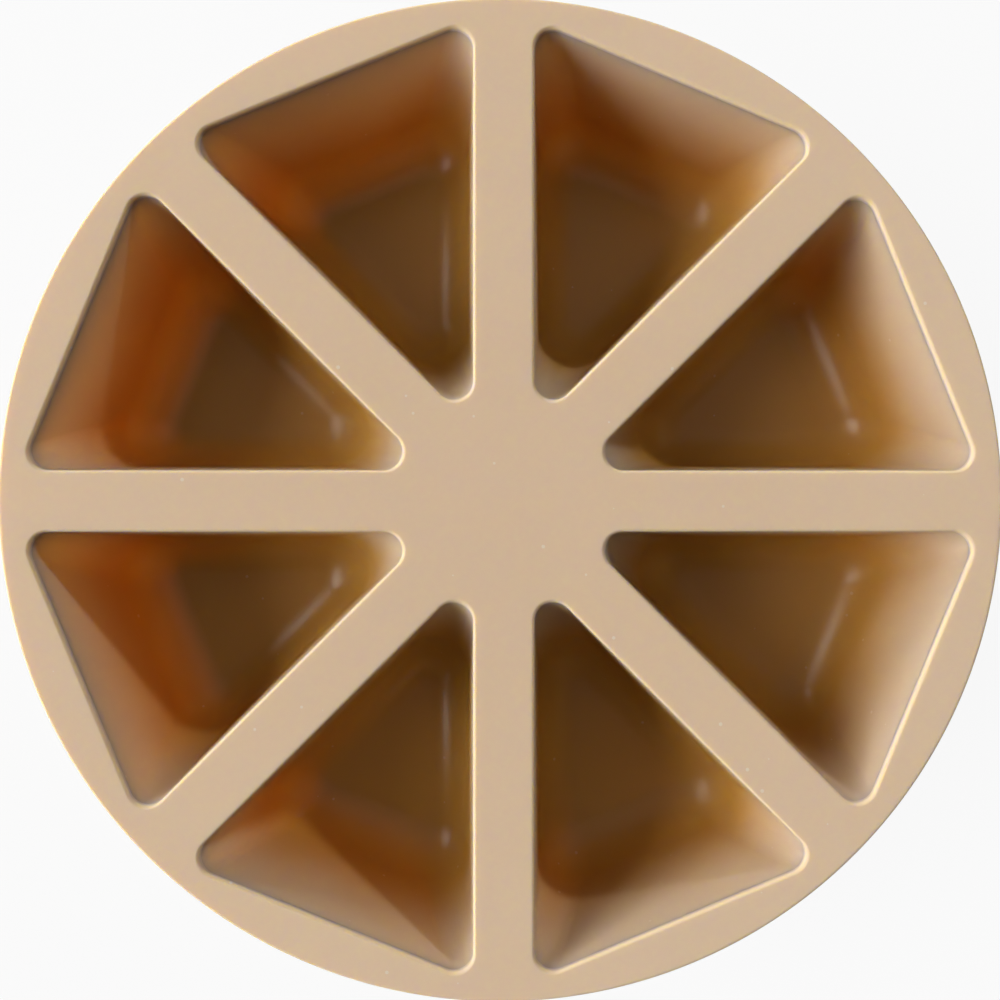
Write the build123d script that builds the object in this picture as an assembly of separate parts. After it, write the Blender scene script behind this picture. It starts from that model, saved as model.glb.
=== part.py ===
"""Round silicone baking mould with wedge-shaped cups hanging under a flat deck.

The deck is made of a hub, straight spokes and a rim. Each cup is a steep drafted shell whose
corners open out towards a broadly rounded floor. Inside and outside share the same edge centres,
so the wall is one thickness round every corner. The middle of each cup's floor is a panel that
gives under a thumb to push the slice out.
Origin at the middle of the underside, +Z up, millimetres and degrees.
"""
from build123d import *
from math import cos, radians, sin, tan
import os

# Whole mould
MOULD_DIAMETER = 265.0
MOULD_HEIGHT = 48.0
CUP_COUNT = 8

# Deck: the flat top that joins the cups
DECK_THICKNESS = 3.0
SPOKE_WIDTH = 16.0
RIM_WIDTH = 12.0
RIM_EDGE_RADIUS = 1.2
LIP_RADIUS = 1.3
SPOKE_END_MARGIN = 3.0

# Cups: drafted wedges, equally thick all round
WALL_DRAFT = 4.5
WALL_THICKNESS = 2.2
MOUTH_CORNER_RADIUS = 5.0
FLOOR_CORNER_RADIUS = 13.0
FLOOR_EDGE_RADIUS = 13.0
FLOOR_THICKNESS = 2.2

# Floor panels: tapered edges on a tapered seat, a little above the surface the cups stand on
BASE_RECESS = 0.4
SEAT_WIDTH = 1.5
SEAT_CLEARANCE = 0.2
SEAT_DRAFT = 25.0
PANEL_CORNER_RADIUS = 3.0

# How far a cutting shape reaches past the faces that it opens
CUT_PAST = 1.0

PITCH = 360.0 / CUP_COUNT
HALF_PITCH = radians(PITCH / 2)
DRAFT_SLOPE = tan(radians(WALL_DRAFT))
DECK_UNDERSIDE = MOULD_HEIGHT - DECK_THICKNESS


def wedge_inset(height, shell=0.0):
    """Distance from the mouth's edge in to the cup's wall at a height; shell steps outwards."""
    return (MOULD_HEIGHT - height) * DRAFT_SLOPE - shell / cos(radians(WALL_DRAFT))


def wedge_triangle(height, inset):
    """Sharp triangle at a height, each side inset from the mouth's, its bisector along +X."""
    side_gap = SPOKE_WIDTH / 2 + inset
    chord = MOULD_DIAMETER / 2 - RIM_WIDTH - inset
    apex = side_gap / sin(HALF_PITCH)
    half_chord = (chord - apex) * tan(HALF_PITCH)
    corners = [(apex, 0), (chord, half_chord), (chord, -half_chord)]
    return Pos(0, 0, height) * make_face(Polyline(*corners, close=True))


def wedge_outline(height, shell=0.0):
    """Section of a cup at a height; its rounded corners open out from the mouth to the floor."""
    depth_share = (MOULD_HEIGHT - height) / (MOULD_HEIGHT - FLOOR_THICKNESS)
    radius = MOUTH_CORNER_RADIUS + (FLOOR_CORNER_RADIUS - MOUTH_CORNER_RADIUS) * depth_share
    sharp = wedge_triangle(height, wedge_inset(height, shell))
    return fillet(sharp.vertices(), radius + shell)


def drafted_wedge(top, bottom, shell=0.0):
    """Solid wedge that narrows downwards, its bottom edge broadly rounded."""
    solid = loft([wedge_outline(bottom, shell), wedge_outline(top, shell)], ruled=True)
    return fillet(solid.edges().group_by(Axis.Z)[0], FLOOR_EDGE_RADIUS + shell)


def floor_plug(top, bottom, clearance=0.0):
    """Tapered triangle that fills the flat middle of a cup's floor, or the seat that holds it."""
    fillet_reach = FLOOR_EDGE_RADIUS * tan(radians(90 - WALL_DRAFT) / 2)
    slope = tan(radians(SEAT_DRAFT))
    inset = wedge_inset(FLOOR_THICKNESS) + fillet_reach + SEAT_WIDTH - clearance
    inset -= (top - FLOOR_THICKNESS) * slope
    radius = PANEL_CORNER_RADIUS + clearance + (top - FLOOR_THICKNESS) * slope
    sharp = wedge_triangle(top, inset)
    outline = fillet(sharp.vertices(), radius)
    return extrude(outline, amount=bottom - top, dir=(0, 0, 1), taper=SEAT_DRAFT)


def around(shape, index, offset=0.0):
    """A copy of shape turned to its place in the pattern."""
    return Rot(0, 0, (index + offset) * PITCH) * shape


def make_deck():
    """Disc with a mouth over each cup, its rim and mouth edges rounded."""
    blank = Pos(0, 0, DECK_UNDERSIDE) * Cylinder(
        MOULD_DIAMETER / 2, DECK_THICKNESS, align=(Align.CENTER, Align.CENTER, Align.MIN)
    )
    blank = fillet(blank.edges().filter_by(GeomType.CIRCLE), RIM_EDGE_RADIUS)
    cavity = drafted_wedge(MOULD_HEIGHT + CUT_PAST, FLOOR_THICKNESS)
    deck = blank - [around(cavity, i, 0.5) for i in range(CUP_COUNT)]
    top = deck.faces().sort_by(Axis.Z)[-1]
    lips = [edge for wire in top.inner_wires() for edge in wire.edges()]
    return fillet(lips, LIP_RADIUS)


def split_deck(deck):
    """The hub, the rim and the straight spokes between them, met on flat end faces."""
    mouth_sides = wedge_triangle(MOULD_HEIGHT, 0).edges().sort_by(SortBy.LENGTH)
    apex_distance = SPOKE_WIDTH / 2 / tan(HALF_PITCH)
    corner_reach = MOUTH_CORNER_RADIUS / tan(HALF_PITCH) + SPOKE_END_MARGIN
    inner = apex_distance + corner_reach
    outer = apex_distance + mouth_sides[-1].length - corner_reach
    blank = Pos((inner + outer) / 2, 0, MOULD_HEIGHT) * Box(
        outer - inner, 2 * SPOKE_WIDTH, 2 * MOULD_HEIGHT
    )
    cutters = [around(blank, i) for i in range(CUP_COUNT)]
    spokes = [deck & cutter for cutter in cutters]
    hub, rim = (deck - cutters).solids().sort_by(SortBy.VOLUME)
    return hub, rim, spokes


def make_cup():
    """Cup wall from the deck's underside down to its turned-in base, open at the panel's seat."""
    shell = drafted_wedge(DECK_UNDERSIDE, 0, WALL_THICKNESS)
    cavity = drafted_wedge(DECK_UNDERSIDE + CUT_PAST, FLOOR_THICKNESS)
    seat = floor_plug(FLOOR_THICKNESS + CUT_PAST, -CUT_PAST, SEAT_CLEARANCE)
    return shell - cavity - seat


def make_floor():
    """Push-up panel in the middle of a cup's floor, flush inside and recessed underneath."""
    return floor_plug(FLOOR_THICKNESS, BASE_RECESS)


hub, rim, spokes = split_deck(make_deck())
cup = make_cup()
floor = make_floor()

nodes = {"hub": hub, "rim": rim}
for index in range(CUP_COUNT):
    nodes[f"spoke_{index + 1}"] = spokes[index]
    nodes[f"cup_{index + 1}"] = around(cup, index, 0.5)
    nodes[f"cup_floor_{index + 1}"] = around(floor, index, 0.5)

os.makedirs("parts", exist_ok=True)
for name, shape in nodes.items():
    export_step(shape, f"parts/{name}.step")
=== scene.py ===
from math import cos, pi, radians, sin, tan

import bmesh
import bpy
from mathutils import Matrix, Vector


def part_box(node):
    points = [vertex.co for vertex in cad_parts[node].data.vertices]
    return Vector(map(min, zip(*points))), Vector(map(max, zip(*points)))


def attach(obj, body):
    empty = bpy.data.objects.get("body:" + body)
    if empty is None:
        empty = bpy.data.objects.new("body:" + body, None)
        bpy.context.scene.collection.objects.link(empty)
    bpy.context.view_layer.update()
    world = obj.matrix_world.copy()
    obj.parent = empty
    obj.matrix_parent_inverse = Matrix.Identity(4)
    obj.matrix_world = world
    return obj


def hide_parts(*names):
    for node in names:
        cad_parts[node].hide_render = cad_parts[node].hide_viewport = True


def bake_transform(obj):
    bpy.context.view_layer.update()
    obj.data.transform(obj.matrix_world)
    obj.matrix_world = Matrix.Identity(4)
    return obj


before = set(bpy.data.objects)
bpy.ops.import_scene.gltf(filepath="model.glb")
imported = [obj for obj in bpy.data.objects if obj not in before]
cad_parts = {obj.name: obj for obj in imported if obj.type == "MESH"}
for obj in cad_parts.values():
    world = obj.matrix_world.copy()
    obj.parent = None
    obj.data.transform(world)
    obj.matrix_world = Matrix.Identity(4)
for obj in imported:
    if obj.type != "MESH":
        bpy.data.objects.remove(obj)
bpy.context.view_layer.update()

# Deck: the flat top of the mould, three millimetres of tan silicone with eight wedge-shaped mouths.
# It is cured in one shot with the cups under it; its matt face comes from the sand-blasted half of
# the steel tool, and every edge that fingers or food touch is rounded.
rim_low, rim_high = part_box("rim")
mould_radius = rim_high.x
deck_top = rim_high.z
deck_underside = rim_low.z
cup_count = len([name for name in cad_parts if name.startswith("spoke_")])
pitch = 2 * pi / cup_count
half_pitch = pitch / 2

spoke_width = 0.016
rim_width = 0.012
mouth_chord = mould_radius - rim_width
wall_draft = radians(4.5)
wall_thickness = 0.0022
mouth_corner = 0.005
corner_growth = 0.175
least_corner = 0.0004
lip_radius = 0.0008
flare_radius = 0.0018
rim_edge_radius = 0.0009
edge_support = 0.0006
corner_steps = 14
edge_steps = 10
rim_segments = 320
same_level = 1e-6


def wall_inset(height):
    """How far the inside of a cup's wall stands in from the edge of its mouth at a height."""
    return (deck_top - height) * tan(wall_draft)


def skin_inset(height):
    """The same for the outside of the wall, one wall thickness further out."""
    return wall_inset(height) - wall_thickness / cos(wall_draft)


def arc(centre, radius, start, end):
    """Stations (inset, height) round an edge; angles run from straight up towards the cup's middle."""
    inset, height = centre
    turns = [start + (end - start) * step / edge_steps for step in range(edge_steps + 1)]
    return [(inset + radius * sin(turn), height + radius * cos(turn)) for turn in turns]


def cup_ring(bm, inset, height):
    """A closed loop round the first cup: three straight sides with a spun arc at each corner."""
    corner = mouth_corner + corner_growth * (deck_top - height) + wall_inset(height) - inset
    corner = max(corner, least_corner)
    apex = (spoke_width / 2 + inset + corner) / sin(half_pitch)
    chord = mouth_chord - inset - corner
    half_chord = (chord - apex) * tan(half_pitch)
    square_to_spoke = pi / 2 + half_pitch
    ends = []
    for x, y, start, sweep in (
        (apex, 0, square_to_spoke, pi - pitch),
        (chord, -half_chord, -square_to_spoke, square_to_spoke),
        (chord, half_chord, 0, square_to_spoke),
    ):
        centre = Vector((x, y, height))
        first = bm.verts.new(centre + corner * Vector((cos(start), sin(start), 0)))
        spun = bmesh.ops.spin(
            bm, geom=[first], cent=centre, axis=(0, 0, 1), dvec=(0, 0, 0),
            angle=sweep, steps=corner_steps, use_duplicate=False,
        )
        last = next(v for v in spun["geom_last"] if isinstance(v, bmesh.types.BMVert))
        ends.append((first, last))
    edges = [bm.edges.new((ends[i - 1][1], ends[i][0])) for i in range(len(ends))]
    for first, last in ends:
        vert, edge = first, None
        while vert is not last:
            edge = next(e for e in vert.link_edges if e is not edge and e not in edges)
            edges.append(edge)
            vert = edge.other_vert(vert)
    return edges


def skin(bm, stations):
    """Rings at the stations, bridged in order; gives the bands of faces and the rings."""
    rings = [cup_ring(bm, inset, height) for inset, height in stations]
    bands = []
    for ring, next_ring in zip(rings, rings[1:]):
        bands.append(bmesh.ops.bridge_loops(bm, edges=ring + next_ring)["faces"])
    return bands, rings


def crease(*rings):
    """Keeps the shading of the faces on either side of a ring apart."""
    for edge in [edge for ring in rings for edge in ring]:
        edge.smooth = False


lip_reach = lip_radius * tan((pi / 2 - wall_draft) / 2)
lip = arc((-lip_reach, deck_top - lip_radius), lip_radius, 0, pi / 2 - wall_draft)
join_height = lip[-1][1] - edge_support
flare_height = deck_underside - flare_radius
flare_centre = skin_inset(flare_height) - flare_radius / cos(wall_draft)
mouth = [(-lip_reach - edge_support, deck_top)] + lip + [(wall_inset(join_height), join_height)]
mouth += [(flare_centre, deck_underside)]

body = bmesh.new()
mouth_rings = skin(body, mouth)[1]
crease(mouth_rings[-2], mouth_rings[-1])
to_first_cup = Matrix.Rotation(half_pitch, 3, "Z")
bmesh.ops.rotate(body, cent=(0, 0, 0), matrix=to_first_cup, verts=body.verts)
bmesh.ops.spin(
    body, geom=body.verts[:] + body.edges[:] + body.faces[:], cent=(0, 0, 0), axis=(0, 0, 1),
    dvec=(0, 0, 0), angle=2 * pi - pitch, steps=cup_count - 1, use_duplicate=True,
)

rim_centre = mould_radius - rim_edge_radius
rim = [(rim_centre - edge_support, deck_top)]
rim += arc((rim_centre, deck_top - rim_edge_radius), rim_edge_radius, 0, pi / 2)
rim += arc((rim_centre, deck_underside + rim_edge_radius), rim_edge_radius, pi / 2, pi)
hoops = []
for radius, height in rim:
    hoop = bmesh.ops.create_circle(
        body, radius=radius, segments=rim_segments, matrix=Matrix.Translation((0, 0, height))
    )
    hoops.append(list({edge for vert in hoop["verts"] for edge in vert.link_edges}))
for upper, lower in zip(hoops, hoops[1:]):
    bmesh.ops.bridge_loops(body, edges=upper + lower)
for height in (deck_top, deck_underside):
    open_edges = [
        edge for edge in body.edges
        if edge.is_boundary and all(abs(vert.co.z - height) < same_level for vert in edge.verts)
    ]
    bmesh.ops.triangle_fill(body, use_beauty=True, use_dissolve=False, edges=open_edges)
bmesh.ops.recalc_face_normals(body, faces=body.faces)

deck_tan = (0.77, 0.59, 0.415, 1)
# Painted shade: the amber brown that the insides of the cups turn to near their floors stands in for
# the shade deep in the cups.
painted_shade_amber = (0.5, 0.265, 0.055, 1)
dust_colour = (0.85, 0.8, 0.72, 1)
cloud_scale = 22
cloud_detail = 4
cloud_roughness = 0.25
grain_scale = 1500
grain_detail = 2
grain_strength = 0.065
grain_depth = 0.0002
# Painted shade: the heights where the darkening towards the cup floors starts and where it is full, and
# how much the clouds make it waver.
painted_shade_starts = 0.046
painted_shade_is_full = 0.012
painted_shade_waver = 0.02
speck_scale = 170
speck_size = 0.09
bare_share = 0.55
dust_cover = 0.55
dust_roughness = 0.2
silicone_ior = 1.41
reach_by_colour = (1, 0.85, 0.15)


def silicone_effects():
    """Group: cloudy pigment, painted shade that darkens the colour towards the cup floors, settled dust
    and a fine grain.
    """
    group = bpy.data.node_groups.new("silicone_effects", "ShaderNodeTree")
    for name, kind, value in (
        ("Tint", "NodeSocketColor", deck_tan),
        ("Soaked Tint", "NodeSocketColor", painted_shade_amber),
        ("Soak", "NodeSocketFloat", 0),
        ("Clouds", "NodeSocketFloat", 0.05),
        ("Dust", "NodeSocketFloat", 1),
        ("Polish", "NodeSocketFloat", 0.5),
    ):
        group.interface.new_socket(name, in_out="INPUT", socket_type=kind).default_value = value
    for name, kind in (
        ("Color", "NodeSocketColor"),
        ("Roughness", "NodeSocketFloat"),
        ("Height", "NodeSocketFloat"),
    ):
        group.interface.new_socket(name, in_out="OUTPUT", socket_type=kind)
    nodes, link = group.nodes, group.links.new
    given = nodes.new("NodeGroupInput")
    result = nodes.new("NodeGroupOutput")
    place = nodes.new("ShaderNodeTexCoord").outputs["Object"]

    def calculate(operation, *values):
        """Output of a maths node fed with numbers and other outputs."""
        node = nodes.new("ShaderNodeMath")
        node.operation = operation
        for socket, value in zip(node.inputs, values):
            if isinstance(value, (int, float)):
                socket.default_value = value
            else:
                link(value, socket)
        return node.outputs[0]

    def noise(scale, detail):
        """Noise that swings evenly either side of nought."""
        node = nodes.new("ShaderNodeTexNoise")
        node.inputs["Scale"].default_value = scale
        node.inputs["Detail"].default_value = detail
        link(place, node.inputs["Vector"])
        return calculate("SUBTRACT", node.outputs["Fac"], 0.5)

    cloud = noise(cloud_scale, cloud_detail)
    grain = noise(grain_scale, grain_detail)
    split = nodes.new("ShaderNodeSeparateXYZ")
    link(place, split.inputs[0])
    # Painted shade: a ramp by height that darkens the colour towards the bottom of the cups.
    shade_ramp = nodes.new("ShaderNodeMapRange")
    shade_ramp.interpolation_type = "SMOOTHSTEP"
    shade_ramp.inputs["From Min"].default_value = painted_shade_starts
    shade_ramp.inputs["From Max"].default_value = painted_shade_is_full
    link(calculate("MULTIPLY_ADD", cloud, painted_shade_waver, split.outputs["Z"]), shade_ramp.inputs["Value"])

    specks = nodes.new("ShaderNodeTexVoronoi")
    specks.inputs["Scale"].default_value = speck_scale
    link(place, specks.inputs["Vector"])
    pick = nodes.new("ShaderNodeSeparateColor")
    link(specks.outputs["Color"], pick.inputs[0])
    reach = calculate("MULTIPLY", pick.outputs["Green"], speck_size)
    near = calculate("LESS_THAN", specks.outputs["Distance"], reach)
    dust = calculate("MULTIPLY", near, calculate("GREATER_THAN", pick.outputs["Red"], bare_share))
    dust = calculate("MULTIPLY", dust, given.outputs["Dust"])

    # Painted shade: the tint is mixed towards the shade tint as the height ramp rises.
    tint_with_painted_shade = nodes.new("ShaderNodeMix")
    tint_with_painted_shade.data_type = "RGBA"
    link(calculate("MULTIPLY", shade_ramp.outputs["Result"], given.outputs["Soak"]), tint_with_painted_shade.inputs["Factor"])
    link(given.outputs["Tint"], tint_with_painted_shade.inputs["A"])
    link(given.outputs["Soaked Tint"], tint_with_painted_shade.inputs["B"])
    clouded = nodes.new("ShaderNodeHueSaturation")
    link(calculate("MULTIPLY_ADD", cloud, given.outputs["Clouds"], 1), clouded.inputs["Value"])
    link(tint_with_painted_shade.outputs["Result"], clouded.inputs["Color"])
    dusted = nodes.new("ShaderNodeMix")
    dusted.data_type = "RGBA"
    link(calculate("MULTIPLY", dust, dust_cover), dusted.inputs["Factor"])
    link(clouded.outputs["Color"], dusted.inputs["A"])
    dusted.inputs["B"].default_value = dust_colour

    rough = calculate("MULTIPLY_ADD", cloud, cloud_roughness, given.outputs["Polish"])
    link(dusted.outputs["Result"], result.inputs["Color"])
    link(calculate("MULTIPLY_ADD", dust, dust_roughness, rough), result.inputs["Roughness"])
    link(calculate("ADD", grain, dust), result.inputs["Height"])
    return group


effects = silicone_effects()


def silicone(name, light_reach, gleam, **finish):
    """Translucent tan rubber from a matt or a polished face of the tool.

    Light wanders light_reach inside it, gleam is the strength of its reflections, and finish
    sets the effects.
    """
    material = bpy.data.materials.new(name)
    material.use_nodes = True
    nodes, link = material.node_tree.nodes, material.node_tree.links.new
    shader = nodes["Principled BSDF"]
    shader.inputs["IOR"].default_value = silicone_ior
    shader.inputs["Specular IOR Level"].default_value = gleam
    shader.inputs["Subsurface Weight"].default_value = 1
    shader.inputs["Subsurface Radius"].default_value = reach_by_colour
    shader.inputs["Subsurface Scale"].default_value = light_reach
    surface = nodes.new("ShaderNodeGroup")
    surface.node_tree = effects
    for socket, value in finish.items():
        surface.inputs[socket].default_value = value
    bump = nodes.new("ShaderNodeBump")
    bump.inputs["Strength"].default_value = grain_strength
    bump.inputs["Distance"].default_value = grain_depth
    link(surface.outputs["Color"], shader.inputs["Base Color"])
    link(surface.outputs["Roughness"], shader.inputs["Roughness"])
    link(surface.outputs["Height"], bump.inputs["Height"])
    link(bump.outputs["Normal"], shader.inputs["Normal"])
    return material


def make_piece(name, bm, materials):
    """An object at the origin from a finished bmesh, smooth shaded."""
    mesh = bpy.data.meshes.new(name)
    bm.to_mesh(mesh)
    bm.free()
    mesh.shade_smooth()
    for material in materials:
        mesh.materials.append(material)
    piece = bpy.data.objects.new(name, mesh)
    bpy.context.scene.collection.objects.link(piece)
    piece.modifiers.new("flat_faces_stay_flat", "WEIGHTED_NORMAL").keep_sharp = True
    return piece


matte = silicone("silicone_matte", light_reach=0.002, gleam=0.12, Polish=0.75, Clouds=0.05)
deck = make_piece("deck", body, [matte])
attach(deck, "mould")
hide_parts(*[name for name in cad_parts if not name.startswith("cup_")])

# Cups: drafted pockets that hang from the deck, in one with it, their walls and floors about two
# millimetres thick. The inside is polished so that a slice slips out when a thumb pushes the floor
# up. The middle of the underside is set back a little, so a cup stands on the ring round it.
floor_top = 0.0022
floor_fillet = 0.013
base_recess = 0.0004
standing_ring = 0.0021
bend_height = floor_top + floor_fillet
floor_edge = wall_inset(floor_top) + floor_fillet * tan((pi / 2 - wall_draft) / 2)
fillet_centre = (floor_edge, bend_height)
foot_turn = (1.5 * pi - wall_draft, pi)
recess_edge = floor_edge + standing_ring

inside = [(wall_inset(height), height) for height in (join_height, bend_height)]
inside += arc(fillet_centre, floor_fillet, *foot_turn)
flare = arc((flare_centre, flare_height), flare_radius, 0, pi / 2 - wall_draft)
flare_end = flare[-1][1] - edge_support
outside = flare + [(skin_inset(height), height) for height in (flare_end, bend_height)]
outside += arc(fillet_centre, floor_fillet + wall_thickness, *foot_turn)
outside += [(recess_edge, 0), (recess_edge + base_recess, base_recess)]

# Painted shade: the insides of the cups are the deck's own silicone painted a darker tan, standing in
# for the shade in the deep cups; the height ramp darkens them further towards the floors.
cup_tan_with_painted_shade = (0.57, 0.435, 0.3, 1)
gloss = silicone(
    "silicone_gloss_painted_shade", light_reach=0.0055, gleam=0.5,
    Tint=cup_tan_with_painted_shade, Soak=1, Polish=0.34, Clouds=0.08, Dust=0.3,
)
for number in range(1, cup_count + 1):
    cup = bmesh.new()
    bands, rings = skin(cup, inside[::-1] + outside)
    crease(rings[len(inside) - 1], rings[len(inside)])
    floor = bmesh.ops.contextual_create(cup, geom=rings[0])["faces"]
    for face in [face for band in bands[:len(inside) - 1] + [floor] for face in band]:
        face.material_index = 1
    bmesh.ops.contextual_create(cup, geom=rings[-1])
    turn = Matrix.Rotation((number - 0.5) * pitch, 3, "Z")
    bmesh.ops.rotate(cup, cent=(0, 0, 0), matrix=turn, verts=cup.verts)
    bmesh.ops.recalc_face_normals(cup, faces=cup.faces)
    pocket = make_piece(f"cup_skin_{number}", cup, [matte, gloss])
    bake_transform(pocket)
    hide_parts(f"cup_{number}", f"cup_floor_{number}")

# Studio: a table that the camera sees as almost white, a wide window on the left, a compact lamp
# on the right, weak light from above, and low lamps with a strip on the table that glow through
# the cups. The camera stands close above the middle, as it did for the photograph.
table_half_width = 3
table_grey = (0.55, 0.55, 0.55, 1)
table_roughness = 0.9
table_whiteness = 0.92
stage_mesh = bpy.data.meshes.new("studio_floor")
ground = bmesh.new()
bmesh.ops.create_grid(ground, x_segments=1, y_segments=1, size=table_half_width)
ground.to_mesh(stage_mesh)
ground.free()
studio_floor = bpy.data.objects.new("studio_floor", stage_mesh)
bpy.context.scene.collection.objects.link(studio_floor)
floor_paint = bpy.data.materials.new("studio_floor")
floor_paint.use_nodes = True
paint_nodes, paint_link = floor_paint.node_tree.nodes, floor_paint.node_tree.links.new
paint = paint_nodes["Principled BSDF"]
paint.inputs["Base Color"].default_value = table_grey
paint.inputs["Roughness"].default_value = table_roughness
white = paint_nodes.new("ShaderNodeEmission")
light_path = paint_nodes.new("ShaderNodeLightPath")
seen = paint_nodes.new("ShaderNodeMath")
seen.operation = "MULTIPLY"
seen.inputs[1].default_value = table_whiteness
paint_link(light_path.outputs["Is Camera Ray"], seen.inputs[0])
mixed = paint_nodes.new("ShaderNodeMixShader")
paint_link(seen.outputs[0], mixed.inputs[0])
paint_link(paint.outputs[0], mixed.inputs[1])
paint_link(white.outputs[0], mixed.inputs[2])
paint_link(mixed.outputs[0], paint_nodes["Material Output"].inputs["Surface"])
stage_mesh.materials.append(floor_paint)


def soft_lamp(name, azimuth, elevation, spread, power):
    """A soft box, far from the mould and facing it; spread is the two angles that it fills."""
    distance = 20
    lamp = bpy.data.lights.new(name, "AREA")
    lamp.shape = "ELLIPSE"
    lamp.size, lamp.size_y = [2 * distance * tan(radians(angle) / 2) for angle in spread]
    lamp.energy = power
    holder = bpy.data.objects.new(name, lamp)
    bpy.context.scene.collection.objects.link(holder)
    around, up = radians(azimuth), radians(elevation)
    towards = Vector((cos(around) * cos(up), sin(around) * cos(up), sin(up)))
    holder.location = Vector((0, 0, deck_top)) + distance * towards
    holder.rotation_euler = towards.to_track_quat("Z", "Y").to_euler()


soft_lamp("window_left", azimuth=177, elevation=32, spread=(62, 32), power=4650)
soft_lamp("low_left_back", azimuth=125, elevation=10, spread=(18, 18), power=1200)
soft_lamp("low_left_front", azimuth=205, elevation=10, spread=(18, 18), power=1200)
soft_lamp("lamp_right", azimuth=53, elevation=23, spread=(4, 4), power=1000)
soft_lamp("low_right", azimuth=40, elevation=10, spread=(18, 18), power=150)
soft_lamp("overhead", azimuth=75, elevation=74, spread=(64, 64), power=440)

strip_length = 1
strip_height = 0.04
strip_distance = 0.5
strip_power = 0.6
strip = bpy.data.lights.new("strip_left", "AREA")
strip.shape = "RECTANGLE"
strip.size = strip_length
strip.size_y = strip_height
strip.energy = strip_power
strip_holder = bpy.data.objects.new("strip_left", strip)
strip_holder.location = (-strip_distance, 0, strip_height / 2)
strip_holder.rotation_euler = (pi / 2, 0, -pi / 2)
bpy.context.scene.collection.objects.link(strip_holder)

room_light = 0.03
world = bpy.data.worlds.new("studio_light")
bpy.context.scene.world = world
world.use_nodes = True
world.node_tree.nodes["Background"].inputs["Color"].default_value = (1, 1, 1, 1)
world.node_tree.nodes["Background"].inputs["Strength"].default_value = room_light

# The camera leans a little, and its shift brings the mould back to the middle of the picture.
camera_height = 0.2
widest_depth = 0.0015
rim_pixels = 499.2
picture_pixels = 1000
sensor_width = 36
nearest_seen = 0.01
lean_right = 0.0113
lean_down = 0.0032
lens_pixels = rim_pixels * (camera_height + widest_depth) / mould_radius
recentre = lens_pixels * (1 + (mould_radius / camera_height) ** 2) / picture_pixels
camera_data = bpy.data.cameras.new("camera")
camera_data.sensor_width = sensor_width
camera_data.lens = sensor_width * lens_pixels / picture_pixels
camera_data.shift_x = -lean_right * recentre
camera_data.shift_y = lean_down * recentre
camera_data.clip_start = nearest_seen
camera = bpy.data.objects.new("camera", camera_data)
camera.location = (0, 0, deck_top + camera_height)
camera.rotation_euler = (-lean_down, -lean_right, 0)
bpy.context.scene.collection.objects.link(camera)
bpy.context.scene.camera = camera
bpy.context.scene.view_settings.view_transform = "Standard"
